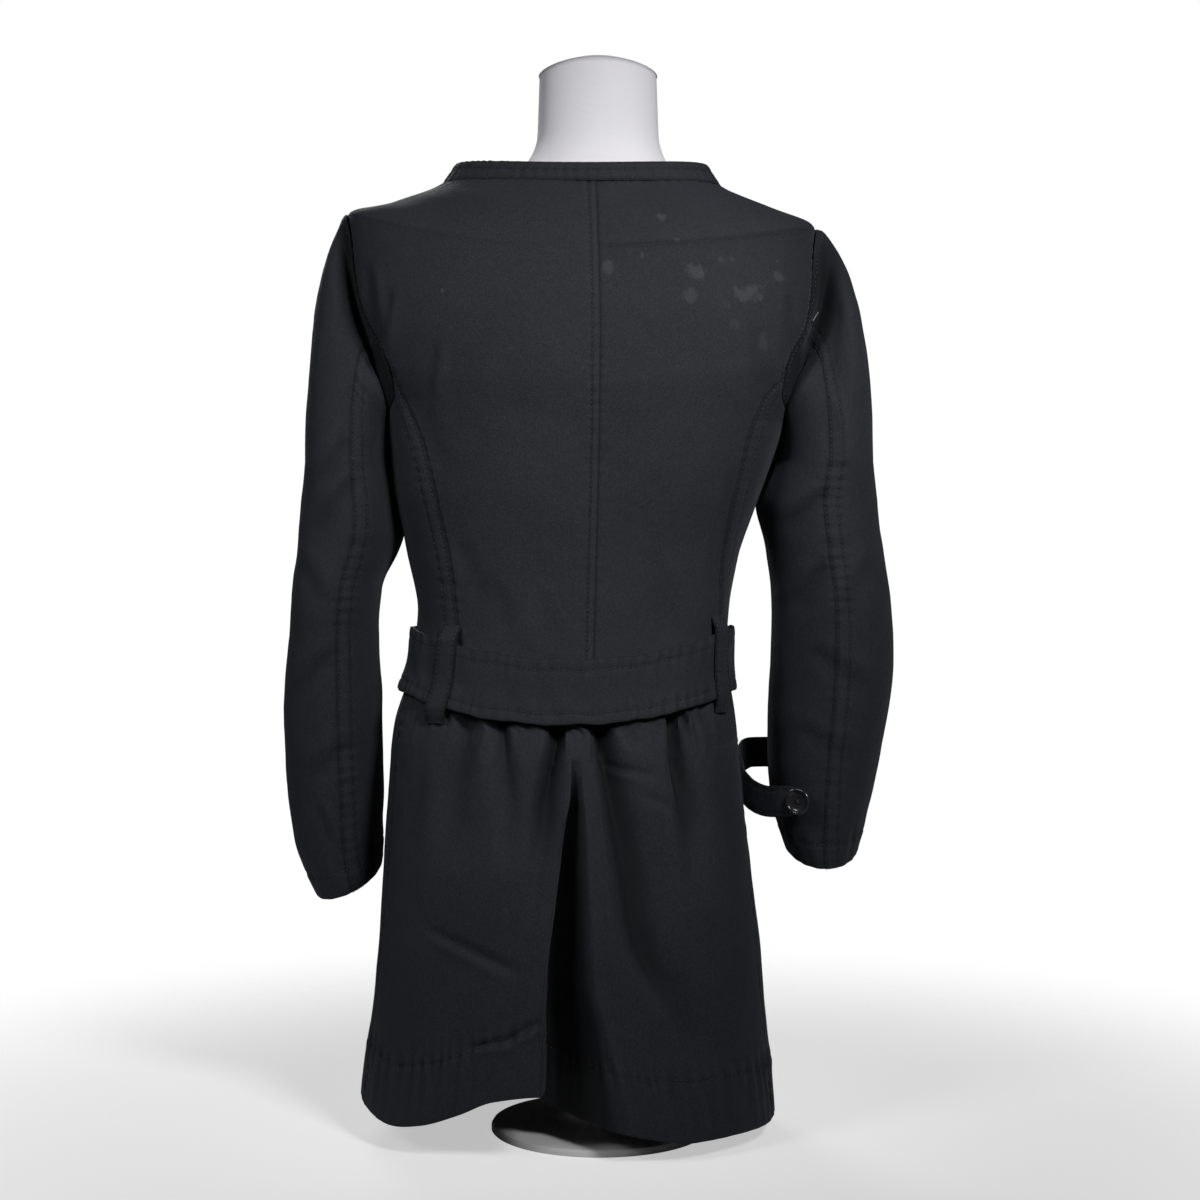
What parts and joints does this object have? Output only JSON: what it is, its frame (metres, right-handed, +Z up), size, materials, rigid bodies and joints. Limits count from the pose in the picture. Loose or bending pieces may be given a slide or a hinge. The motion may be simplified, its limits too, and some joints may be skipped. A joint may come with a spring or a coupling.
{
  "type": "belted winter coat on a dress form",
  "caption": "Black thigh-length belted coat with long seamed sleeves, a gathered skirt and buttoned cuff straps, shown on a white limbless dress form.",
  "frame": {"origin": "on the floor, under the middle of the stand's base", "axes": "+Z up, the coat's front faces -Y, the wearer's left is +X"},
  "size_m": [0.5407, 0.2766, 0.9318],
  "materials": {
    "coat_cloth": "fine matt twill with a slight sheen",
    "button": "polished",
    "form_jersey": "smooth stretched jersey",
    "stand": "satin white"
  },
  "bodies": {
    "root": {"back_left": "coat_cloth", "back_right": "coat_cloth", "side_back_left": "coat_cloth", "side_back_right": "coat_cloth", "front_left": "coat_cloth", "front_right": "coat_cloth", "neck_band": "coat_cloth", "skirt_back": "coat_cloth", "skirt_front_left": "coat_cloth", "skirt_front_right": "coat_cloth", "sleeve_upper_left": "coat_cloth", "sleeve_under_left": "coat_cloth", "sleeve_upper_right": "coat_cloth", "sleeve_under_right": "coat_cloth", "belt": "coat_cloth", "belt_loop_left": "coat_cloth", "belt_loop_right": "coat_cloth", "cuff_strap_left": "coat_cloth", "cuff_strap_right": "coat_cloth", "cuff_button_left": "button", "cuff_button_right": "button", "belt_button": "button", "front_button_1": "button", "front_button_2": "button", "front_button_3": "button", "front_button_4": "button", "form_torso": "form_jersey", "form_pole": "stand", "form_base": "stand"}
  },
  "joints": []
}
